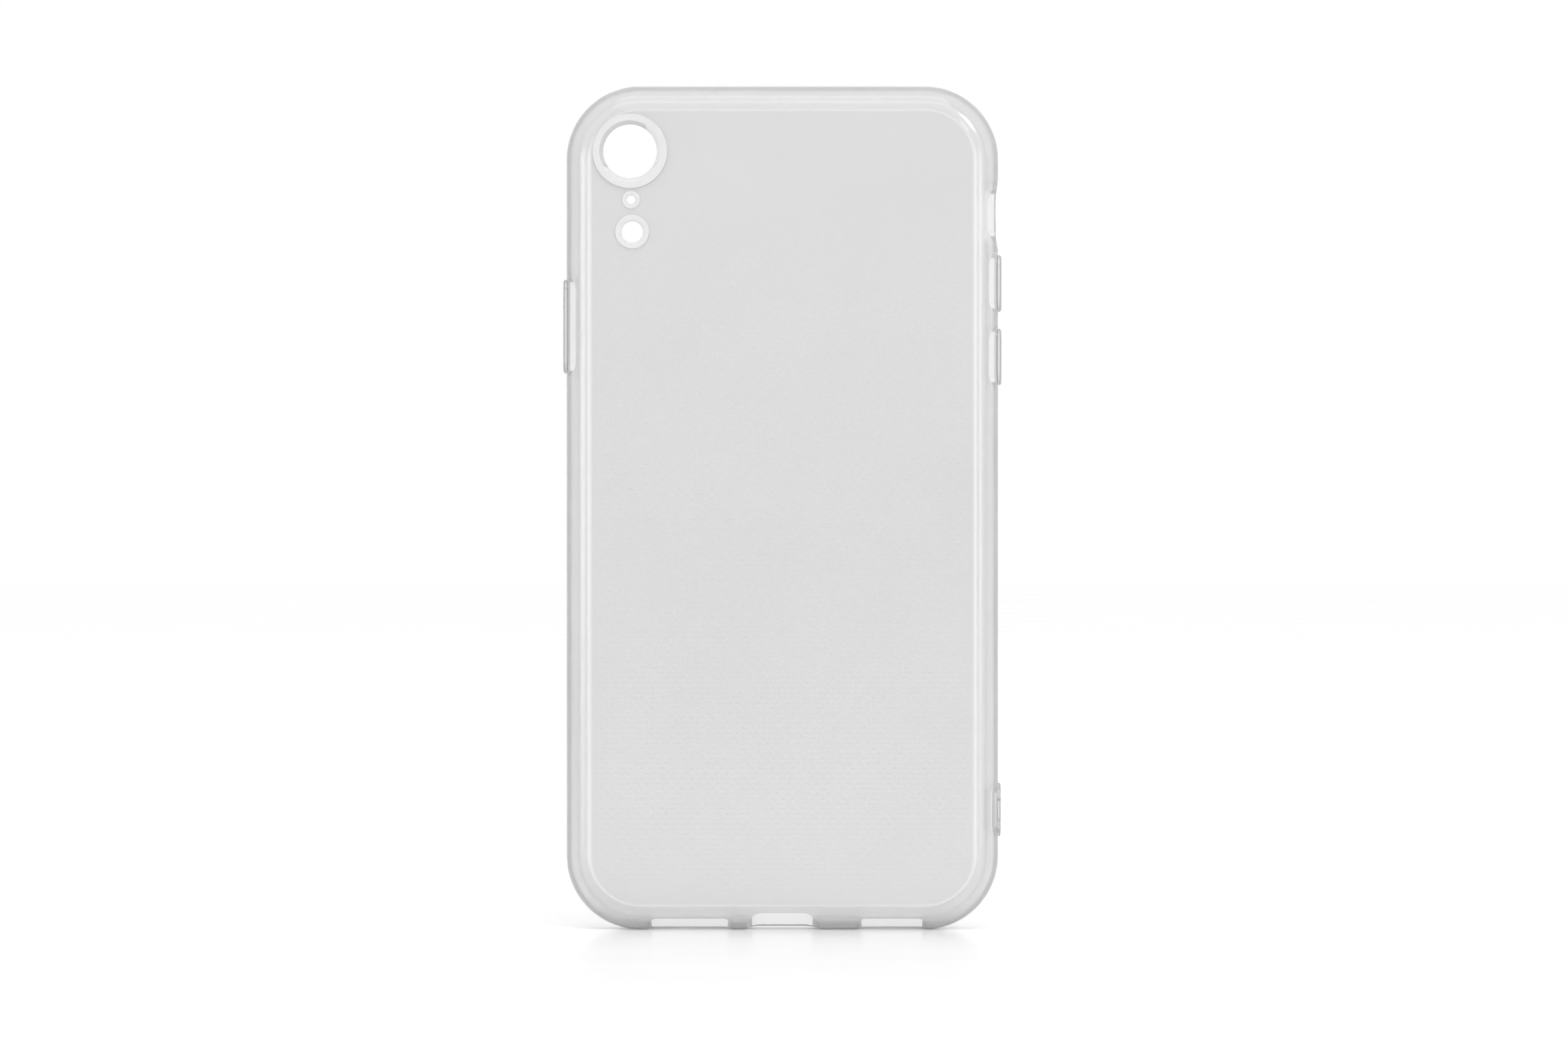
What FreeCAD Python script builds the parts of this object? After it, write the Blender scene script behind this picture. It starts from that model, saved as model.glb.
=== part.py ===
"""Clear soft case for a 6.1 inch phone, upright, with its back towards -Y.

The case is one moulding of soft clear plastic: a shallow tray with a flat back, rounded edges,
and a lip that hooks round the phone's front. It is drawn here as the tray (shell), the raised rims
round its three back holes, the strap anchor, and, for each of the phone's buttons, a cover that
travels with the finger and the thin web that hinges it to the wall.

Frame: X to the right seen from behind, Y from the seat to the open front, Z up.
Origin: the middle of the seat, the flat inner face that the phone's back lies on. Millimetres.
"""

import FreeCAD, Part
import math
import os

Vector = FreeCAD.Vector
RIGHT = Vector(1, 0, 0)
FORWARD = Vector(0, 1, 0)
UP = Vector(0, 0, 1)
SEAT = Vector(0, 0, 0)

# The phone that the case is made to hold.
phone_width = 75.7
phone_height = 150.9
phone_depth = 8.3
phone_corner_radius = 11.8
phone_back_edge_radius = 3.4
phone_front_edge_radius = 3.0
fit_gap = 0.1

# The moulding's walls.
side_wall = 1.5
back_wall = 1.1
back_edge_radius = 4.4
front_edge_radius = 2.2
lip_thickness = 0.9
lip_reach = 1.5
lip_edge_radius = 0.4

# Round holes in the back, placed from the side with one button. The camera hole is placed from the phone's
# top edge too, and each smaller rim clears the rim above it by its own gap.
camera_from_side = 10.1
camera_from_top = 10.5
camera_hole_radius = 4.9
camera_rim_radius = 6.8
camera_rim_proud = 0.7
camera_rim_bevel = 0.7
microphone_from_side = 10.3
microphone_rim_gap = 0.4
microphone_hole_radius = 0.8
microphone_rim_radius = 1.65
microphone_rim_proud = 0.3
microphone_rim_bevel = 0.2
flash_from_side = 10.5
flash_rim_gap = 1.1
flash_hole_radius = 1.95
flash_rim_radius = 3.1
flash_rim_proud = 0.4
flash_rim_bevel = 0.35
rim_edge_radius = 0.18

# Button covers, placed from the phone's top edge.
side_button_from_top = 42.3
side_button_length = 17.2
volume_up_from_top = 34.4
volume_down_from_top = 47.85
volume_button_length = 10.4
cover_width = 4.2
cover_proud = 0.6
cover_edge_radius = 0.45
groove_width = 0.6
groove_depth = 0.55
web_thickness = 0.45
web_clearance = 0.05

# Window for the ring and silent switch, in the wall with two buttons, with the same kind of margin.
switch_from_top = 21.95
switch_window_length = 9.7
switch_window_margin = 1.25
switch_window_corner = 2.4
switch_flare = 1.5
switch_flare_depth = 1.0

# Windows in the bottom wall. Each margin is left between the window and the phone's back and front faces.
port_window_length = 13.2
port_window_margin = 0.45
port_window_corner = 2.6
port_flare = 0.4
speaker_window_from_middle = 16.9
speaker_window_length = 15.0
microphones_window_from_middle = 20.0
microphones_window_length = 12.2
sound_window_margin = 1.15
sound_window_corner = 1.3
sound_flare = 0.3
bottom_flare_depth = 0.6

# Anchor for a wrist strap, low on the wall with two buttons.
strap_from_bottom = 20.2
strap_boss_length = 9.8
strap_boss_width = 4.4
strap_boss_proud = 0.45
strap_boss_edge_radius = 0.3
strap_hole_radius = 1.1
strap_hole_spacing = 5.3
strap_groove_depth = 0.6

# Places worked out from those sizes.
cavity_width = phone_width + 2 * fit_gap
cavity_height = phone_height + 2 * fit_gap
cavity_depth = phone_depth + fit_gap
cavity_corner_radius = phone_corner_radius + fit_gap
outer_width = cavity_width + 2 * side_wall
outer_height = cavity_height + 2 * side_wall
outer_corner_radius = cavity_corner_radius + side_wall
tray_depth = back_wall + cavity_depth + lip_thickness

back_y = -back_wall
front_y = cavity_depth + lip_thickness
button_y = phone_depth / 2
side_x = outer_width / 2
bottom_z = -outer_height / 2
phone_top_z = phone_height / 2
phone_side_x = phone_width / 2
microphone_from_top = camera_from_top + camera_rim_radius + microphone_rim_gap + microphone_rim_radius
flash_from_top = microphone_from_top + microphone_rim_radius + flash_rim_gap + flash_rim_radius
switch_window_width = phone_depth - 2 * switch_window_margin
port_window_width = phone_depth - 2 * port_window_margin
sound_window_width = phone_depth - 2 * sound_window_margin

# How far a cutting shape runs past what it cuts, and how close two places are to count as one.
beyond = 2.0
same_place = 1e-4
through_the_edge = side_wall + fit_gap + max(phone_back_edge_radius, phone_front_edge_radius)


def rounded_wire(centre, along, across, length, width, radius):
    """A rectangle with rounded corners. A radius of half the width makes it a slot with round ends."""
    run = length / 2 - radius
    rise = width / 2 - radius
    bulge = radius * math.sqrt(0.5)
    edges = []
    for turn_a, turn_b, first in ((1, 1, "side"), (-1, 1, "end"), (-1, -1, "side"), (1, -1, "end")):
        hub = centre + along * (turn_a * run) + across * (turn_b * rise)
        tip = hub + along * (turn_a * radius)
        brow = hub + across * (turn_b * radius)
        knee = hub + along * (turn_a * bulge) + across * (turn_b * bulge)
        start, end = (tip, brow) if first == "side" else (brow, tip)
        if edges and (start - last).Length > same_place:
            edges.append(Part.makeLine(last, start))
        edges.append(Part.Arc(start, knee, end).toShape())
        last = end
    beginning = edges[0].valueAt(edges[0].FirstParameter)
    if (beginning - last).Length > same_place:
        edges.append(Part.makeLine(last, beginning))
    return Part.Wire(edges)


def rounded_block(centre, along, across, length, width, radius, sweep):
    return Part.Face(rounded_wire(centre, along, across, length, width, radius)).extrude(sweep)


def slot_block(centre, along, across, length, width, sweep):
    return rounded_block(centre, along, across, length, width, width / 2, sweep)


def edges_at_y(shape, y, within=None):
    """The edges that lie in the plane at depth y, or only those no further than within from the middle in X."""
    found = []
    for edge in shape.Edges:
        box = edge.BoundBox
        flat = abs(box.YMin - y) < same_place and abs(box.YMax - y) < same_place
        if flat and (within is None or max(abs(box.XMin), abs(box.XMax)) < within):
            found.append(edge)
    return found


def edges_at_x(shape, x):
    """The edges that lie in the plane x."""
    found = []
    for edge in shape.Edges:
        box = edge.BoundBox
        if abs(box.XMin - x) < same_place and abs(box.XMax - x) < same_place:
            found.append(edge)
    return found


def phone_room():
    """The shape of the phone with its fit gap, which every piece of the wall is cut back from."""
    room = rounded_block(
        SEAT, RIGHT, UP, cavity_width, cavity_height, cavity_corner_radius, FORWARD * cavity_depth
    )
    room = room.makeFillet(phone_back_edge_radius, edges_at_y(room, SEAT.y))
    return room.makeFillet(phone_front_edge_radius, edges_at_y(room, cavity_depth))


def mouth():
    """The opening inside the lip, through which the phone goes in."""
    return rounded_block(
        FORWARD * (cavity_depth / 2), RIGHT, UP,
        cavity_width - 2 * lip_reach, cavity_height - 2 * lip_reach, cavity_corner_radius - lip_reach,
        FORWARD * (cavity_depth / 2 + lip_thickness + beyond),
    )


def tray():
    """The plain tray: a rounded block, hollowed for the phone and opened at the front inside the lip."""
    block = rounded_block(
        FORWARD * back_y, RIGHT, UP, outer_width, outer_height, outer_corner_radius,
        FORWARD * tray_depth,
    )
    block = block.makeFillet(back_edge_radius, edges_at_y(block, back_y))
    block = block.makeFillet(front_edge_radius, edges_at_y(block, front_y))
    body = block.cut(phone_room()).cut(mouth())
    mouth_side_x = cavity_width / 2 - lip_reach
    return body.makeFillet(lip_edge_radius, edges_at_y(body, front_y, mouth_side_x + same_place))


def flared_window(centre, along, across, outward, length, width, corner, flare, flare_depth):
    """A window through a wall whose mouth widens outwards. centre lies on the wall's outer face."""
    corner = min(corner, width / 2)
    inside = rounded_block(
        centre - outward * (through_the_edge + beyond), along, across, length, width, corner,
        outward * (through_the_edge + 2 * beyond),
    )
    grow = flare / flare_depth * (flare_depth + beyond)
    throat = rounded_wire(centre - outward * flare_depth, along, across, length, width, corner)
    opening = rounded_wire(
        centre + outward * beyond, along, across, length + 2 * grow, width + 2 * grow, corner + grow
    )
    return inside.fuse(Part.makeLoft([throat, opening], True, True))


def back_hole_place(from_side, from_top):
    return Vector(-phone_side_x + from_side, 0, phone_top_z - from_top)


def rim(place, hole_radius, rim_radius, proud, bevel):
    """A ring through the back wall that stands proud of it, with a bevelled mouth."""
    top_y = back_y - proud
    corners = [
        Vector(hole_radius, beyond, 0),
        Vector(hole_radius, top_y + bevel, 0),
        Vector(hole_radius + bevel, top_y, 0),
        Vector(rim_radius, top_y, 0),
        Vector(rim_radius, beyond, 0),
    ]
    ring = Part.Face(Part.makePolygon(corners + corners[:1])).revolve(Vector(), FORWARD, 360)
    ring = ring.makeFillet(rim_edge_radius, edges_at_y(ring, top_y))
    return ring.translated(place).cut(phone_room())


def rim_seat(place, rim_radius):
    """The hole in the back wall that a rim fills."""
    start = Vector(place.x, back_y - beyond, place.z)
    return Part.makeCylinder(rim_radius, beyond + back_wall + beyond, start, FORWARD)


def button_place(side, from_top):
    """A point on the wall's outer face, at the button's middle. side is -1 for the left wall, 1 for the right."""
    return Vector(side * side_x, button_y, phone_top_z - from_top)


def cover(side, from_top, length):
    """The part of the wall over a button, pushed outwards so that it leaves a pocket for the button."""
    outward = RIGHT * side
    place = button_place(side, from_top)
    inner = place + outward * (cover_proud - side_wall)
    block = slot_block(inner, UP, FORWARD, length, cover_width, outward * side_wall)
    return block.makeFillet(cover_edge_radius, edges_at_x(block, side * (side_x + cover_proud)))


def web(side, from_top, length):
    """The thin ring at the bottom of the groove between a cover and the wall."""
    outward = RIGHT * side
    inner = button_place(side, from_top) - outward * (groove_depth + web_thickness)
    rise = outward * web_thickness
    around = slot_block(
        inner, UP, FORWARD, length + 2 * groove_width, cover_width + 2 * groove_width, rise
    )
    within = slot_block(
        inner, UP, FORWARD, length + 2 * web_clearance, cover_width + 2 * web_clearance, rise
    )
    return around.cut(within)


def cover_window(side, from_top, length):
    """The hole in the wall that a cover and its web fill."""
    outward = RIGHT * side
    start = button_place(side, from_top) - outward * (side_wall + beyond)
    return slot_block(
        start, UP, FORWARD, length + 2 * groove_width, cover_width + 2 * groove_width,
        outward * (side_wall + 2 * beyond),
    )


def strap_place():
    return Vector(side_x, button_y, strap_from_bottom - phone_height / 2)


def strap_anchor():
    """A boss with two holes and, on the phone's side, a groove that lets the strap pass between them."""
    inside = strap_place() - RIGHT * (side_wall + beyond)
    through = beyond + side_wall + strap_boss_proud
    boss = slot_block(inside, UP, FORWARD, strap_boss_length, strap_boss_width, RIGHT * through)
    boss = boss.makeFillet(strap_boss_edge_radius, edges_at_x(boss, side_x + strap_boss_proud))
    for end in (-1, 1):
        start = inside + UP * (end * strap_hole_spacing / 2)
        boss = boss.cut(Part.makeCylinder(strap_hole_radius, through + beyond, start, RIGHT))
    groove = slot_block(
        inside, UP, FORWARD, strap_hole_spacing + 2 * strap_hole_radius, 2 * strap_hole_radius,
        RIGHT * (beyond + strap_groove_depth),
    )
    return boss.cut(groove).cut(phone_room())


def strap_seat():
    """The hole in the wall that the strap anchor fills."""
    inside = strap_place() - RIGHT * (side_wall + beyond)
    through = RIGHT * (side_wall + 2 * beyond)
    return slot_block(inside, UP, FORWARD, strap_boss_length, strap_boss_width, through)


BACK_HOLES = {
    "camera_rim": (
        back_hole_place(camera_from_side, camera_from_top),
        camera_hole_radius, camera_rim_radius, camera_rim_proud, camera_rim_bevel,
    ),
    "microphone_rim": (
        back_hole_place(microphone_from_side, microphone_from_top),
        microphone_hole_radius, microphone_rim_radius, microphone_rim_proud, microphone_rim_bevel,
    ),
    "flash_rim": (
        back_hole_place(flash_from_side, flash_from_top),
        flash_hole_radius, flash_rim_radius, flash_rim_proud, flash_rim_bevel,
    ),
}

BUTTONS = {
    "side_button": (-1, side_button_from_top, side_button_length),
    "volume_up": (1, volume_up_from_top, volume_button_length),
    "volume_down": (1, volume_down_from_top, volume_button_length),
}


def wall_windows():
    """The openings that stay open: the silent switch, the charging port and the sound windows."""
    bottom = Vector(0, button_y, bottom_z)
    return [
        flared_window(
            Vector(side_x, button_y, phone_top_z - switch_from_top), UP, FORWARD, RIGHT,
            switch_window_length, switch_window_width, switch_window_corner,
            switch_flare, switch_flare_depth,
        ),
        flared_window(
            bottom, RIGHT, FORWARD, -UP, port_window_length, port_window_width,
            port_window_corner, port_flare, bottom_flare_depth,
        ),
        flared_window(
            bottom - RIGHT * speaker_window_from_middle, RIGHT, FORWARD, -UP,
            speaker_window_length, sound_window_width, sound_window_corner,
            sound_flare, bottom_flare_depth,
        ),
        flared_window(
            bottom + RIGHT * microphones_window_from_middle, RIGHT, FORWARD, -UP,
            microphones_window_length, sound_window_width, sound_window_corner,
            sound_flare, bottom_flare_depth,
        ),
    ]


def shell():
    body = tray()
    for place, hole_radius, rim_radius, proud, bevel in BACK_HOLES.values():
        body = body.cut(rim_seat(place, rim_radius))
    for side, from_top, length in BUTTONS.values():
        body = body.cut(cover_window(side, from_top, length))
    for window in wall_windows():
        body = body.cut(window)
    return body.cut(strap_seat())


def all_nodes():
    nodes = {"shell": shell(), "strap_anchor": strap_anchor()}
    for name, sizes in BACK_HOLES.items():
        nodes[name] = rim(*sizes)
    for name, (side, from_top, length) in BUTTONS.items():
        nodes[name + "_cover"] = cover(side, from_top, length)
        nodes[name + "_web"] = web(side, from_top, length)
    return nodes


os.makedirs("parts", exist_ok=True)
for node, shape in all_nodes().items():
    state = "valid" if shape.isValid() else "NOT VALID"
    print(node, len(shape.Solids), "solid", round(shape.Volume, 2), "mm3", state)
    shape.exportStep(f"parts/{node}.step")
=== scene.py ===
"""Looks of a clear soft phone case, empty and upright, with its back towards -Y.

The case is one moulding of clear TPU. Each piece below stands in its own node's place: the tray,
the rims round the back holes, the strap anchor, and each button's cover and thin web.
Metres, in the row frame: X to the right seen from behind, Y towards the open front, Z up.
"""

import math

import bmesh
import bpy
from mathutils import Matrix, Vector


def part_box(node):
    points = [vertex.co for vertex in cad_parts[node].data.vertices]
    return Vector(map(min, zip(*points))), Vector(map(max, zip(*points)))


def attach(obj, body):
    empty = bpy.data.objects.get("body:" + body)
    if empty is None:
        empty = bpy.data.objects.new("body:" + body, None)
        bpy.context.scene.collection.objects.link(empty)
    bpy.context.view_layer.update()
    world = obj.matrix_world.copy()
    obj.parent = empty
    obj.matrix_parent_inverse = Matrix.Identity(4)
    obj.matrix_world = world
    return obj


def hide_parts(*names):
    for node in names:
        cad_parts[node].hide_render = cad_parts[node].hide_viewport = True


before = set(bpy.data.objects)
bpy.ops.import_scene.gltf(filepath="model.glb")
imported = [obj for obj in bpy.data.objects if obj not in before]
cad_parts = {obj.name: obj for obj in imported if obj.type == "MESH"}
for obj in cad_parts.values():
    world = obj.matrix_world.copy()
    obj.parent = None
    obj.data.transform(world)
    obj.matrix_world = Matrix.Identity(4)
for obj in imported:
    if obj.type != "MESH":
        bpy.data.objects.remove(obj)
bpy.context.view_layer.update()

bpy.ops.object.select_all(action="DESELECT")

# ---------------------------------------------------------------------------------------------
# The table: polished white laminate, which mirrors the foot of the case a little, under an even
# white surround. One large plane, flush with the case's bottom edge.
MM = 0.001
TABLE_WIDTH = 12


def linear(hex_colour):
    """An sRGB hex colour as the linear colour that a shader reads."""
    parts = [int(hex_colour[i:i + 2], 16) / 255 for i in (1, 3, 5)]
    return [c / 12.92 if c <= 0.04045 else ((c + 0.055) / 1.055) ** 2.4 for c in parts] + [1.0]


def add_node(tree, kind, inputs=None, **settings):
    """Adds a node with its settings, and gives each named input a value or a link."""
    node = tree.nodes.new(kind)
    for name, value in settings.items():
        setattr(node, name, value)
    for name, value in (inputs or {}).items():
        if isinstance(value, bpy.types.NodeSocket):
            tree.links.new(value, node.inputs[name])
        else:
            node.inputs[name].default_value = value
    return node


def new_material(name):
    """A node material, its tree and its one Principled shader."""
    material = bpy.data.materials.new(name)
    material.use_nodes = True
    return material, material.node_tree, material.node_tree.nodes["Principled BSDF"]


# Melamine laminate, pressed against a polished plate: white right through, with a blurred mirror
# image near what stands on it, a little patchy where it has been wiped, every 60 mm or so.
laminate, tree, shader = new_material("polished_white_laminate")
spot = add_node(tree, "ShaderNodeTexCoord").outputs["Object"]
haze = add_node(
    tree, "ShaderNodeTexNoise", {"Vector": spot, "Scale": 1 / (60 * MM), "Detail": 4.0}
)
wiped = add_node(
    tree, "ShaderNodeMapRange", {"Value": haze.outputs[0], "To Min": 0.17, "To Max": 0.25}
)
tree.links.new(wiped.outputs[0], shader.inputs["Roughness"])
shader.inputs["Base Color"].default_value = linear("#FBFBFB")

table_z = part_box("shell")[0].z
bpy.ops.mesh.primitive_plane_add(size=TABLE_WIDTH, location=(0, 0, table_z))
bpy.ops.object.transform_apply(location=True)
table = bpy.context.object
table.name = "Table"
table.data.materials.append(laminate)

# ---------------------------------------------------------------------------------------------
# The light: a white surround; a large soft box above, which whitens the table; one on the left,
# which draws the bright line down the left edge, with a narrower one on the right; and a small,
# strong one high on the right, whose reflection is the white arc in the upper right corner.
world = bpy.data.worlds.new("white_surround")
bpy.context.scene.world = world
world.use_nodes = True
world.node_tree.nodes["Background"].inputs["Color"].default_value = (1, 1, 1, 1)
world.node_tree.nodes["Background"].inputs["Strength"].default_value = 1.0

for name, place, width, height, radiance in (
    ("Upper_soft_box", (0.0, -0.75, 1.05), 0.90, 0.90, 1.45),
    ("Left_soft_box", (-0.84, -1.12, 0.0), 0.50, 0.50, 4.2),
    ("Right_soft_box", (0.70, -1.22, 0.0), 0.35, 0.50, 4.0),
    ("Corner_soft_box", (0.68, -1.15, 0.68), 0.25, 0.25, 26.0),
):
    aim = (-Vector(place)).to_track_quat("-Z", "Y").to_euler()
    bpy.ops.object.light_add(type="AREA", location=place, rotation=aim)
    lamp = bpy.context.object
    lamp.name = name
    lamp.data.shape = "RECTANGLE"
    lamp.data.size, lamp.data.size_y = width, height
    lamp.data.energy = radiance * math.pi * width * height
    lamp.visible_camera = False

# ---------------------------------------------------------------------------------------------
# The camera: a long lens, square on to the back, a little below the middle of the case.
bpy.ops.object.camera_add(location=(0.3 * MM, -1.072, -2.7 * MM), rotation=(math.radians(90), 0, 0))
bpy.context.object.data.lens = 135
bpy.context.object.data.sensor_width = 36
bpy.context.object.data.clip_start = 0.05
bpy.context.scene.camera = bpy.context.object
bpy.context.scene.view_settings.view_transform = "Standard"

# ---------------------------------------------------------------------------------------------
# The tray: clear TPU, injection moulded in one shot against polished steel. Its section is drawn
# at one corner, turned round the corner, run along the sides and mirrored. The windows, the three
# round seats, the button openings and the strap anchor's seat are then cut through it.
OUTER_X, OUTER_Z = 39.45 * MM, 77.05 * MM
OUTER_CORNER, WALL = 13.4 * MM, 1.5 * MM
BACK_Y, SEAT_Y, CAVITY_Y, FRONT_Y = -1.1 * MM, 0.0, 8.4 * MM, 9.3 * MM
BACK_EDGE, FRONT_EDGE, LIP_EDGE = 4.4 * MM, 2.2 * MM, 0.4 * MM
ROOM_BACK_EDGE, ROOM_FRONT_EDGE, LIP_REACH = 3.4 * MM, 3.0 * MM, 1.5 * MM
BUTTON_Y = 4.15 * MM
WINDOW_CUT, BEYOND = 7 * MM, 2 * MM
SAME = 1e-6
SMOOTH_BELOW = math.radians(28)
CORNER_STEPS, BAR_STEPS, HOLE_SIDES = 32, 12, 96


def clear_tpu(name, pale, deep, milk, smooth, painted_flat_colours=None):
    """Moulded clear TPU, slightly milky. It bends light, greys it where the plastic is thick, and
    has a wet gloss with faint flow waves, about 9 mm apart. painted_flat_colours gives the two
    colours of the flat, which is painted greyer than the edges: painted light, which lifts the band
    of curved plastic round the flat, where the wall and lip seen through it shade it."""
    material, tree, shader = new_material(name)
    shader.inputs["IOR"].default_value = 1.5
    shader.inputs["Transmission Weight"].default_value = 1 - milk
    spot = add_node(tree, "ShaderNodeTexCoord").outputs["Object"]
    cloud = add_node(
        tree, "ShaderNodeTexNoise", {"Vector": spot, "Scale": 1 / (22 * MM), "Detail": 3.0}
    )
    tint = add_node(
        tree, "ShaderNodeMix", {0: cloud.outputs[0], 6: linear(pale), 7: linear(deep)},
        data_type="RGBA",
    ).outputs[2]
    rub = add_node(
        tree, "ShaderNodeTexNoise", {"Vector": spot, "Scale": 1 / (5 * MM), "Detail": 5.0}
    )
    gloss = add_node(
        tree, "ShaderNodeMapRange",
        {"Value": rub.outputs[0], "To Min": smooth, "To Max": smooth + 0.10},
    )
    tree.links.new(gloss.outputs[0], shader.inputs["Roughness"])
    waves = add_node(
        tree, "ShaderNodeTexNoise", {"Vector": spot, "Scale": 1 / (9 * MM), "Detail": 2.0}
    )
    relief = add_node(
        tree, "ShaderNodeBump",
        {"Height": waves.outputs[0], "Strength": 0.25, "Distance": 0.05 * MM},
    )
    if painted_flat_colours:
        # The flat ends at a rounded rectangle, so how far a place reaches is measured from the
        # hubs of its corners. The 1.0 keeps Y out of that, since the case is far thinner.
        fold = add_node(tree, "ShaderNodeVectorMath", {0: spot}, operation="ABSOLUTE")
        hubs = (OUTER_X - OUTER_CORNER, 1.0, OUTER_Z - OUTER_CORNER)
        past = add_node(
            tree, "ShaderNodeVectorMath", {0: fold.outputs[0], 1: hubs}, operation="SUBTRACT"
        )
        out = add_node(
            tree, "ShaderNodeVectorMath", {0: past.outputs[0], 1: (0, 0, 0)}, operation="MAXIMUM"
        )
        reach = add_node(tree, "ShaderNodeVectorMath", {0: out.outputs[0]}, operation="LENGTH")
        flat_end = OUTER_CORNER - WALL - ROOM_BACK_EDGE
        on_flat = add_node(
            tree, "ShaderNodeMapRange",
            {"Value": reach.outputs["Value"], "From Min": flat_end, "From Max": flat_end + 0.8 * MM,
             "To Min": 1.0, "To Max": 0.0},
        )
        # Painted light: the flat gets a greyer tint than the edges, so that the band of curved
        # plastic round it reads lighter than its shade would leave it.
        flat_grey_paint = add_node(
            tree, "ShaderNodeMix",
            {0: cloud.outputs[0], 6: linear(painted_flat_colours[0]), 7: linear(painted_flat_colours[1])}, data_type="RGBA",
        )
        tint = add_node(
            tree, "ShaderNodeMix", {0: on_flat.outputs[0], 6: tint, 7: flat_grey_paint.outputs[2]},
            data_type="RGBA",
        ).outputs[2]
        # The dots on the seat keep the plastic from clinging to the phone. They are drawn 1.3 mm
        # apart and about 0.5 mm wide, coarser than real, so that they show.
        flat = add_node(
            tree, "ShaderNodeMapping",
            {"Vector": spot, "Rotation": (math.pi / 2, 0, math.pi / 4)},
        )
        grid = add_node(
            tree, "ShaderNodeTexVoronoi",
            {"Vector": flat.outputs[0], "Scale": 1 / (1.3 * MM), "Randomness": 0.0},
            voronoi_dimensions="2D",
        )
        dot = add_node(
            tree, "ShaderNodeMapRange",
            {"Value": grid.outputs["Distance"], "From Min": 0.28, "From Max": 0.14,
             "To Min": 0.0, "To Max": 1.0},
            interpolation_type="SMOOTHSTEP",
        )
        depth = add_node(tree, "ShaderNodeSeparateXYZ", {"Vector": spot})
        on_seat = add_node(
            tree, "ShaderNodeMath", {0: depth.outputs["Y"], 1: SEAT_Y, 2: 0.02 * MM},
            operation="COMPARE",
        )
        inside = add_node(
            tree, "ShaderNodeMath", {0: reach.outputs["Value"], 1: flat_end - 1 * MM},
            operation="LESS_THAN",
        )
        zone = add_node(
            tree, "ShaderNodeMath", {0: inside.outputs[0], 1: on_seat.outputs[0]},
            operation="MULTIPLY",
        )
        raised = add_node(
            tree, "ShaderNodeMath", {0: dot.outputs[0], 1: zone.outputs[0]}, operation="MULTIPLY"
        )
        relief = add_node(
            tree, "ShaderNodeBump",
            {"Height": raised.outputs[0], "Normal": relief.outputs[0],
             "Strength": 0.7, "Distance": 0.03 * MM},
        )
    tree.links.new(tint, shader.inputs["Base Color"])
    tree.links.new(relief.outputs[0], shader.inputs["Normal"])
    grey = add_node(
        tree, "ShaderNodeVolumeAbsorption", {"Color": linear("#E6E6E6"), "Density": 290.0}
    )
    tree.links.new(grey.outputs[0], tree.nodes["Material Output"].inputs["Volume"])
    return material


def pick(part, kind, test):
    """In edit mode, selects only the verts, edges or faces that pass a test."""
    bpy.ops.mesh.select_mode(type={"verts": "VERT", "edges": "EDGE", "faces": "FACE"}[kind])
    bpy.ops.mesh.select_all(action="DESELECT")
    mesh = bmesh.from_edit_mesh(part.data)
    for item in getattr(mesh, kind):
        item.select_set(bool(test(item)))
    mesh.select_flush_mode()
    bmesh.update_edit_mesh(part.data)


def near(a, b):
    """Whether two places are the same, but for rounding."""
    return abs(a - b) < 2 * SAME


def start_profile(name, start):
    """A new piece with one vertex, from which its section is drawn."""
    bpy.ops.object.select_all(action="DESELECT")
    bpy.ops.mesh.primitive_plane_add(size=MM, location=start)
    part = bpy.context.object
    part.name = part.data.name = name
    bpy.ops.object.transform_apply(location=True)
    bpy.ops.object.mode_set(mode="EDIT")
    bpy.ops.mesh.select_all(action="SELECT")
    bpy.ops.mesh.merge(type="CENTER")
    return part


def draw_line(pen, to):
    """Draws the section on in a straight line, and returns where the pen is now."""
    step = Vector(to) - Vector(pen)
    bpy.ops.mesh.extrude_vertices_move(TRANSFORM_OT_translate={"value": step})
    return to


def draw_arc(pen, hub, degrees, steps):
    """Draws the section on round a hub, from X towards Y, and returns where the pen is now. The
    operator turns the other way to its angle, so it is given the angle negated."""
    turn = math.radians(degrees)
    bpy.ops.mesh.spin(steps=steps, angle=-turn, center=hub, axis=(0, 0, 1))
    x, y = pen[0] - hub[0], pen[1] - hub[1]
    c, s = math.cos(turn), math.sin(turn)
    return (hub[0] + x * c - y * s, hub[1] + x * s + y * c, pen[2])


def finish_mesh(part, material):
    """Merges doubles, points every face outwards, smooths the curves and gives the material."""
    bpy.ops.object.mode_set(mode="EDIT")
    bpy.ops.mesh.select_mode(type="VERT")
    bpy.ops.mesh.select_all(action="SELECT")
    bpy.ops.mesh.remove_doubles(threshold=SAME)
    bpy.ops.mesh.normals_make_consistent(inside=False)
    bpy.ops.object.mode_set(mode="OBJECT")
    bpy.ops.object.shade_smooth_by_angle(angle=SMOOTH_BELOW)
    bpy.ops.object.modifier_add(type="WEIGHTED_NORMAL")
    part.modifiers[-1].keep_sharp = True
    bpy.ops.object.modifier_apply(modifier=part.modifiers[-1].name)
    part.data.materials.append(material)
    bpy.ops.object.select_all(action="DESELECT")


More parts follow.
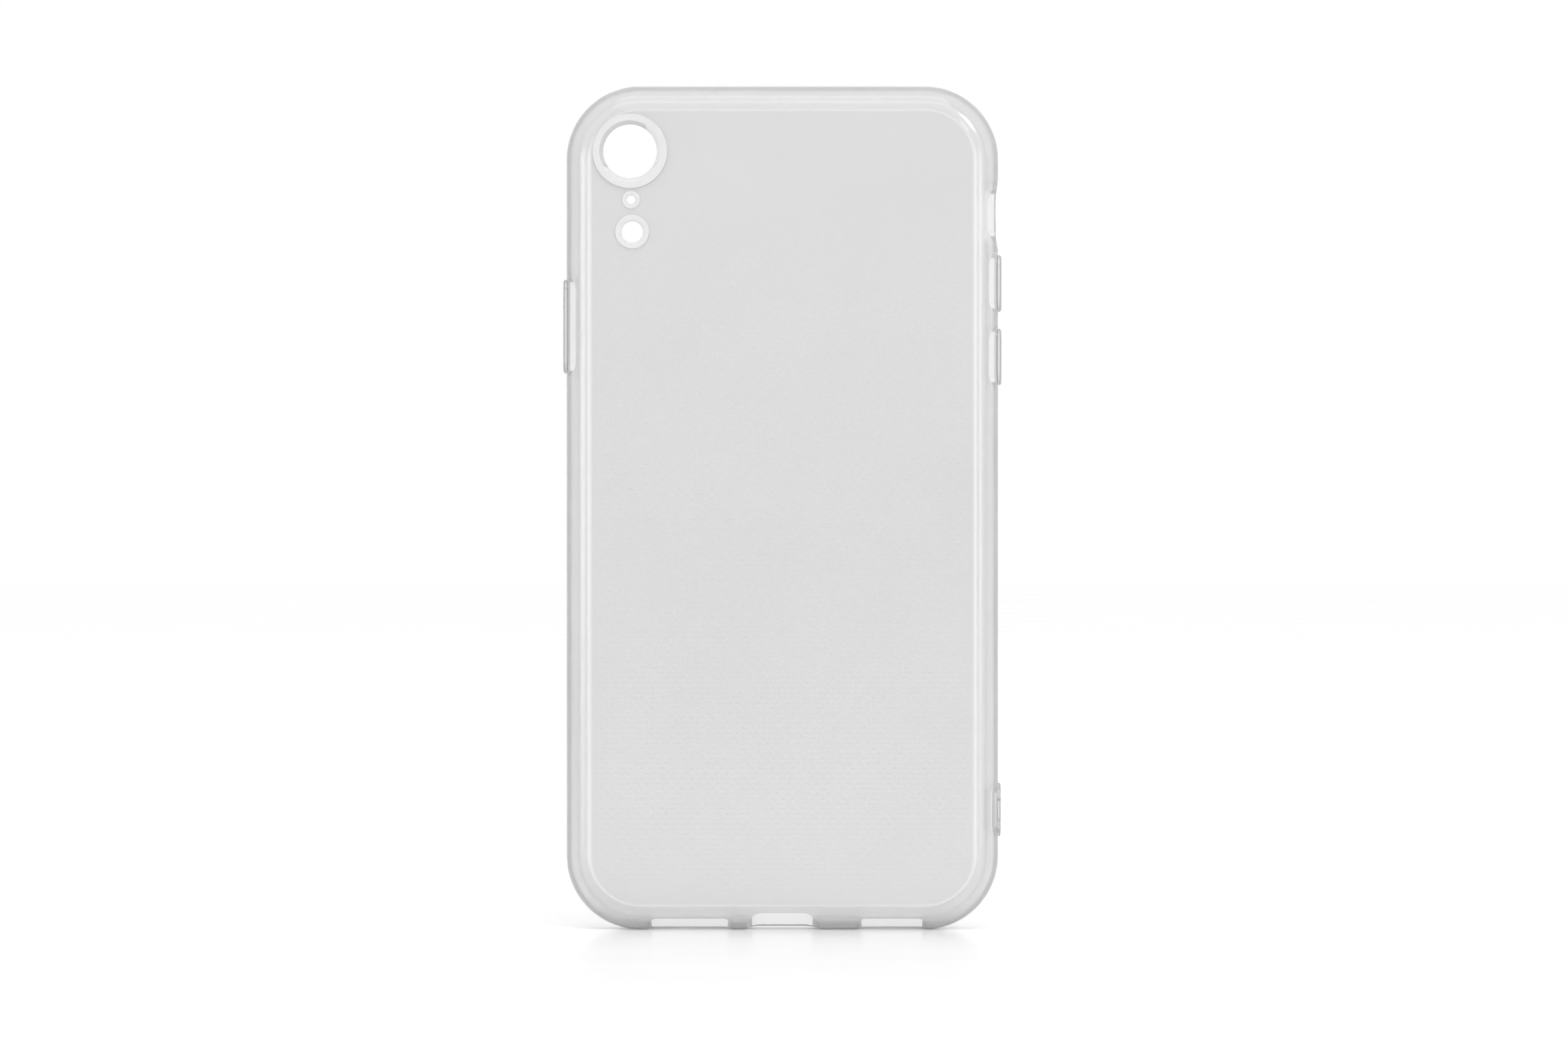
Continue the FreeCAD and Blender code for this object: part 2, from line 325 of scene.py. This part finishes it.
def rounded_bar(low, high, axis, corner):
    """A bar between two corners of a box, with the four edges along an axis rounded. A corner of
    half the width gives it round ends."""
    bpy.ops.object.select_all(action="DESELECT")
    low, high = Vector(low), Vector(high)
    bpy.ops.mesh.primitive_cube_add(size=1, location=(low + high) / 2)
    bar = bpy.context.object
    bar.scale = high - low
    bpy.ops.object.transform_apply(location=True, scale=True)
    bpy.ops.object.mode_set(mode="EDIT")
    pick(bar, "edges", lambda e: abs((e.verts[0].co - e.verts[1].co).normalized()[axis]) > 0.9)
    bpy.ops.mesh.bevel(offset=corner, segments=BAR_STEPS, affect="EDGES")
    bpy.ops.mesh.select_all(action="SELECT")
    bpy.ops.mesh.remove_doubles(threshold=SAME)
    bpy.ops.object.mode_set(mode="OBJECT")
    return bar


def cut(part, cutter):
    """Cuts one shape out of a piece, exactly."""
    bpy.ops.object.select_all(action="DESELECT")
    bpy.context.view_layer.objects.active = part
    part.select_set(True)
    bpy.ops.object.modifier_add(type="BOOLEAN")
    boolean = part.modifiers[-1]
    boolean.operation, boolean.solver, boolean.object = "DIFFERENCE", "EXACT", cutter
    bpy.ops.object.modifier_apply(modifier=boolean.name)
    bpy.data.objects.remove(cutter)


def flared_window(middle, outward, along, length, width, corner, flare, flare_depth):
    """A cutter for a window whose mouth widens outwards. middle lies on the wall's outer face."""
    middle, outward, along = Vector(middle), Vector(outward), Vector(along)
    across = Vector((0, 1, 0))
    half = along * length / 2 + across * width / 2
    ends = [middle - outward * WINDOW_CUT - half, middle + outward * BEYOND + half]
    low, high = [Vector(f(a, b) for a, b in zip(*ends)) for f in (min, max)]
    axis = [i for i in range(3) if outward[i]][0]
    bar = rounded_bar(low, high, axis, corner)
    throat = middle - outward * flare_depth
    bpy.ops.object.mode_set(mode="EDIT")
    bpy.ops.mesh.select_all(action="SELECT")
    bpy.ops.mesh.bisect(plane_co=throat, plane_no=outward)
    pick(bar, "verts", lambda v: (v.co - middle).dot(outward) > BEYOND / 2)
    grow = 2 * flare / flare_depth * (flare_depth + BEYOND)
    spread = [
        1 + grow / length if along[i] else 1 + grow / width if across[i] else 1 for i in range(3)
    ]
    bpy.ops.transform.resize(value=spread, center_override=middle + outward * BEYOND)
    bpy.ops.object.mode_set(mode="OBJECT")
    return bar


# The section, from the middle of the corner out along the back, up the wall and round the lip,
# then back along the inside of the wall and the seat.
hub_x, hub_z = OUTER_X - OUTER_CORNER, OUTER_Z - OUTER_CORNER
wall_r, room_r = hub_x + OUTER_CORNER, hub_x + OUTER_CORNER - WALL
mouth_r = room_r - LIP_REACH
tray = start_profile("Tray", (hub_x, BACK_Y, hub_z))
pen = (hub_x, BACK_Y, hub_z)
pen = draw_line(pen, (wall_r - BACK_EDGE, BACK_Y, hub_z))
pen = draw_arc(pen, (wall_r - BACK_EDGE, BACK_Y + BACK_EDGE, hub_z), 90, 18)
pen = draw_line(pen, (wall_r, FRONT_Y - FRONT_EDGE, hub_z))
pen = draw_arc(pen, (wall_r - FRONT_EDGE, FRONT_Y - FRONT_EDGE, hub_z), 90, 14)
pen = draw_line(pen, (mouth_r + LIP_EDGE, FRONT_Y, hub_z))
pen = draw_arc(pen, (mouth_r + LIP_EDGE, FRONT_Y - LIP_EDGE, hub_z), 90, 5)
lip_hub = (room_r - ROOM_FRONT_EDGE, CAVITY_Y - ROOM_FRONT_EDGE, hub_z)
lip_turn = math.degrees(math.acos((mouth_r - lip_hub[0]) / ROOM_FRONT_EDGE))
lip_tip = (mouth_r, lip_hub[1] + ROOM_FRONT_EDGE * math.sin(math.radians(lip_turn)), hub_z)
pen = draw_line(pen, lip_tip)
pen = draw_arc(pen, lip_hub, -lip_turn, 10)
pen = draw_line(pen, (room_r, SEAT_Y + ROOM_BACK_EDGE, hub_z))
pen = draw_arc(pen, (room_r - ROOM_BACK_EDGE, SEAT_Y + ROOM_BACK_EDGE, hub_z), -90, 14)
pen = draw_line(pen, (hub_x, SEAT_Y, hub_z))

# A quarter of the tray: the section turned round the corner, then run down the side wall and
# along the top wall to the middle, and the flat between them filled in.
bpy.ops.mesh.select_all(action="SELECT")
bpy.ops.mesh.spin(
    steps=CORNER_STEPS, angle=-math.pi / 2, center=(hub_x, 0, hub_z), axis=(0, -1, 0))
bpy.ops.mesh.select_all(action="SELECT")
bpy.ops.mesh.remove_doubles(threshold=SAME)
pick(tray, "edges",
     lambda e: all(near(v.co.z, hub_z) and v.co.x > hub_x - SAME for v in e.verts))
bpy.ops.mesh.extrude_edges_move(TRANSFORM_OT_translate={"value": (0, 0, -hub_z)})
pick(tray, "edges",
     lambda e: all(near(v.co.x, hub_x) and v.co.z > hub_z - SAME for v in e.verts))
bpy.ops.mesh.extrude_edges_move(TRANSFORM_OT_translate={"value": (-hub_x, 0, 0)})
pick(tray, "edges",
     lambda e: all(near(v.co.x, hub_x) and v.co.z < hub_z + SAME for v in e.verts))
bpy.ops.mesh.extrude_edges_move(TRANSFORM_OT_translate={"value": (-hub_x, 0, 0)})
bpy.ops.mesh.select_all(action="SELECT")
bpy.ops.mesh.remove_doubles(threshold=SAME)
bpy.ops.object.mode_set(mode="OBJECT")
bpy.ops.object.modifier_add(type="MIRROR")
tray.modifiers[-1].use_axis = (True, False, True)
bpy.ops.object.modifier_apply(modifier=tray.modifiers[-1].name)
bpy.ops.object.mode_set(mode="EDIT")
bpy.ops.mesh.select_all(action="SELECT")
bpy.ops.mesh.remove_doubles(threshold=SAME)
bpy.ops.mesh.normals_make_consistent(inside=False)
bpy.ops.object.mode_set(mode="OBJECT")

# The openings: the switch window in the right wall, and the port and sound windows in the bottom.
SWITCH_Z = 53.5 * MM
cut(tray, flared_window(
    (OUTER_X, BUTTON_Y, SWITCH_Z), (1, 0, 0), (0, 0, 1), length=9.7 * MM, width=5.8 * MM,
    corner=2.4 * MM, flare=1.5 * MM, flare_depth=1.0 * MM))
for middle_x, length, width, corner, flare in (
    (0.0, 13.2, 7.4, 2.6, 0.4),
    (-16.9, 15.0, 6.0, 1.3, 0.3),
    (20.0, 12.2, 6.0, 1.3, 0.3),
):
    cut(tray, flared_window(
        (middle_x * MM, BUTTON_Y, -OUTER_Z), (0, 0, -1), (1, 0, 0), length * MM, width * MM,
        corner * MM, flare * MM, flare_depth=0.6 * MM))

# The seats of the rims, button covers and strap anchor, in mm. A back hole has its X and Z, its
# radius, its rim's radius, how far the rim stands out and the bevel of its mouth. A button has its
# side, Z and length. The cuts for buttons and anchor run from CUT_IN to CUT_OUT across the wall.
BACK_HOLES = {
    "Camera_rim": (-27.75, 64.95, 4.9, 6.8, 0.7, 0.7),
    "Microphone_rim": (-27.55, 56.1, 0.8, 1.65, 0.3, 0.2),
    "Flash_rim": (-27.35, 50.25, 1.95, 3.1, 0.4, 0.35),
}
BUTTONS = {
    "Side_button": (-1, 33.15, 17.2),
    "Volume_up": (1, 41.05, 10.4),
    "Volume_down": (1, 27.6, 10.4),
}
COVER_WIDTH, GROOVE = 4.2, 0.6
STRAP_Z, STRAP_LENGTH, STRAP_WIDTH = -55.25, 9.8, 4.4
CUT_IN, CUT_OUT, SEAT_CUT = 35.95, 41.45, 6


def slot_bar(side, z, length, width, inner, outer):
    """A bar through a side wall with round ends, between two distances from the middle, in mm."""
    low_x, high_x = sorted((side * inner, side * outer))
    return rounded_bar(
        (low_x * MM, BUTTON_Y - width / 2 * MM, (z - length / 2) * MM),
        (high_x * MM, BUTTON_Y + width / 2 * MM, (z + length / 2) * MM),
        0, width / 2 * MM,
    )


for x, z, _, outside, _, _ in BACK_HOLES.values():
    bpy.ops.object.select_all(action="DESELECT")
    bpy.ops.mesh.primitive_cylinder_add(
        vertices=HOLE_SIDES, radius=outside * MM, depth=SEAT_CUT * MM,
        location=(x * MM, BACK_Y / 2, z * MM), rotation=(math.pi / 2, 0, 0))
    bpy.ops.object.transform_apply(location=True, rotation=True)
    cut(tray, bpy.context.object)
for side, z, length in BUTTONS.values():
    opening = slot_bar(side, z, length + 2 * GROOVE, COVER_WIDTH + 2 * GROOVE, CUT_IN, CUT_OUT)
    cut(tray, opening)
cut(tray, slot_bar(1, STRAP_Z, STRAP_LENGTH, STRAP_WIDTH, CUT_IN, CUT_OUT))

# The last two colours are the flat's tint, painted greyer than the edges so that the band round the
# flat reads lighter: painted light.
tray_tpu = clear_tpu(
    "clear_tpu_gloss_moulded", "#F7F7F7", "#F2F2F2", milk=0.26, smooth=0.10,
    painted_flat_colours=("#E1E1E1", "#DCDCDC"))
finish_mesh(tray, tray_tpu)
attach(tray, "case")
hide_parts("shell")

# ---------------------------------------------------------------------------------------------
# The rims: raised rings of the same moulding round the camera, microphone and flash holes, each
# with a bevelled mouth. One section is drawn and spun round the hole, and its edges are eased.

# In mm. SKIN is a hair of room, so that a rim's side and its seat's don't lie in one face.
SKIN, RIM_EDGE = 0.012, 0.18
EASE = 0.1

rim_tpu = clear_tpu("clear_tpu_polished_rim", "#F2F2F2", "#ECECEC", milk=0.24, smooth=0.07)
for name, (x, z, hole, outside, proud, bevel) in BACK_HOLES.items():
    top = BACK_Y - proud * MM
    outer = x + outside - SKIN
    start = ((x + hole) * MM, SEAT_Y, z * MM)
    rim = start_profile(name, start)
    pen = draw_line(start, ((x + hole) * MM, top + bevel * MM, z * MM))
    pen = draw_line(pen, ((x + hole + bevel) * MM, top, z * MM))
    pen = draw_line(pen, ((outer - RIM_EDGE) * MM, top, z * MM))
    pen = draw_arc(pen, ((outer - RIM_EDGE) * MM, top + RIM_EDGE * MM, z * MM), 90, 5)
    pen = draw_line(pen, (outer * MM, SEAT_Y, z * MM))
    pen = draw_line(pen, start)
    bpy.ops.mesh.select_all(action="SELECT")
    bpy.ops.mesh.spin(
        steps=HOLE_SIDES, angle=2 * math.pi, center=(x * MM, 0, z * MM), axis=(0, 1, 0))
    bpy.ops.mesh.select_all(action="SELECT")
    bpy.ops.mesh.remove_doubles(threshold=SAME)
    bpy.ops.mesh.normals_make_consistent(inside=False)
    bpy.ops.object.mode_set(mode="OBJECT")
    bpy.ops.object.modifier_add(type="BEVEL")
    rim.modifiers[-1].width = EASE * bevel * MM
    rim.modifiers[-1].segments = 3
    rim.modifiers[-1].angle_limit = math.radians(30)
    bpy.ops.object.modifier_apply(modifier=rim.modifiers[-1].name)
    finish_mesh(rim, rim_tpu)
    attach(rim, "case")
    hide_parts(name.lower())

# ---------------------------------------------------------------------------------------------
# The strap anchor: a low boss of the same moulding with two holes, joined behind by a groove that
# a wrist strap's cord passes through. A slot-shaped bar, eased outside and cut from the inside.

# In mm, with places across the wall measured from the middle of the case.
STRAP_HOLE, STRAP_SPACING, STRAP_EDGE = 1.1, 5.3, 0.3
STRAP_IN, STRAP_OUT, STRAP_MIDDLE, STRAP_CUT = 37.0, 39.9, 39, 8
CORD_IN, CORD_OUT = 36.0, 38.55
ROOM_IN, ROOM_OUT, ROOM_UP, ROOM_EDGE = 30, 37.95, 8, 3.2

anchor = slot_bar(
    1, STRAP_Z, STRAP_LENGTH - 2 * SKIN, STRAP_WIDTH - 2 * SKIN, STRAP_IN, STRAP_OUT)
anchor.name = anchor.data.name = "Strap_anchor"
bpy.ops.object.mode_set(mode="EDIT")
pick(anchor, "edges", lambda e: all(near(v.co.x, STRAP_OUT * MM) for v in e.verts))
bpy.ops.mesh.bevel(offset=STRAP_EDGE * MM, segments=6, affect="EDGES")
bpy.ops.object.mode_set(mode="OBJECT")
for end in (-1, 1):
    bpy.ops.object.select_all(action="DESELECT")
    bpy.ops.mesh.primitive_cylinder_add(
        vertices=HOLE_SIDES // 2, radius=STRAP_HOLE * MM, depth=STRAP_CUT * MM,
        location=(STRAP_MIDDLE * MM, BUTTON_Y, (STRAP_Z + end * STRAP_SPACING / 2) * MM),
        rotation=(0, math.pi / 2, 0))
    bpy.ops.object.transform_apply(location=True, rotation=True)
    cut(anchor, bpy.context.object)
cord_groove = slot_bar(
    1, STRAP_Z, STRAP_SPACING + 2 * STRAP_HOLE, 2 * STRAP_HOLE, CORD_IN, CORD_OUT)
cut(anchor, cord_groove)
# Where the phone goes, the anchor is cut flush with the wall's inner face.
room = rounded_bar(
    (ROOM_IN * MM, SEAT_Y, (STRAP_Z - ROOM_UP) * MM),
    (ROOM_OUT * MM, CAVITY_Y, (STRAP_Z + ROOM_UP) * MM), 2, ROOM_EDGE * MM)
cut(anchor, room)
finish_mesh(anchor, rim_tpu)
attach(anchor, "case")
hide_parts("strap_anchor")

# ---------------------------------------------------------------------------------------------
# The button covers: pads of the same moulding over the phone's three buttons, pushed out by the
# mould and joined to the wall by a thin web. A bar with round ends, crowned at its outer edge and
# hollowed a little behind, where it meets the phone's button.
COVER_IN, COVER_OUT, COVER_EDGE = 38.55, 40.05, 0.45
HOLLOW_EDGE, HOLLOW = 0.7, 0.25

cover_tpu = clear_tpu("clear_tpu_button", "#F2F2F2", "#ECECEC", milk=0.26, smooth=0.08)
for name, (side, z, length) in BUTTONS.items():
    cover = slot_bar(side, z, length, COVER_WIDTH, COVER_IN, COVER_OUT)
    cover.name = cover.data.name = name + "_cover"
    bpy.ops.object.mode_set(mode="EDIT")
    pick(cover, "edges", lambda e: all(near(v.co.x, side * COVER_OUT * MM) for v in e.verts))
    bpy.ops.mesh.bevel(offset=COVER_EDGE * MM, segments=8, affect="EDGES")
    pick(cover, "faces", lambda f: f.normal.x * side < -0.9)
    bpy.ops.mesh.inset(thickness=HOLLOW_EDGE * MM)
    bpy.ops.mesh.extrude_region_move(TRANSFORM_OT_translate={"value": (side * HOLLOW * MM, 0, 0)})
    bpy.ops.object.mode_set(mode="OBJECT")
    finish_mesh(cover, cover_tpu)
    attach(cover, name.lower())
    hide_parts(name.lower() + "_cover")

# ---------------------------------------------------------------------------------------------
# The webs: the thin floor of the groove round each cover, which flexes when the cover is pressed.
# Each is a flat ring, and its cover slides through it, with a hair of room all round.
WEB_ROOM, WEB_OUT, WEB_IN = 0.05, 38.9, 38.45

web_tpu = clear_tpu("clear_tpu_thin_web", "#F2F2F2", "#ECECEC", milk=0.20, smooth=0.08)
for name, (side, z, length) in BUTTONS.items():
    web = slot_bar(
        side, z, length + 2 * (GROOVE - SKIN), COVER_WIDTH + 2 * (GROOVE - SKIN), WEB_IN, WEB_OUT)
    web.name = web.data.name = name + "_web"
    bpy.ops.object.mode_set(mode="EDIT")
    pick(web, "faces", lambda f: abs(f.normal.x) > 0.9)
    bpy.ops.mesh.inset(thickness=(GROOVE - SKIN - WEB_ROOM) * MM)
    bpy.ops.mesh.bridge_edge_loops()
    bpy.ops.object.mode_set(mode="OBJECT")
    finish_mesh(web, web_tpu)
    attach(web, "case")
    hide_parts(name.lower() + "_web")
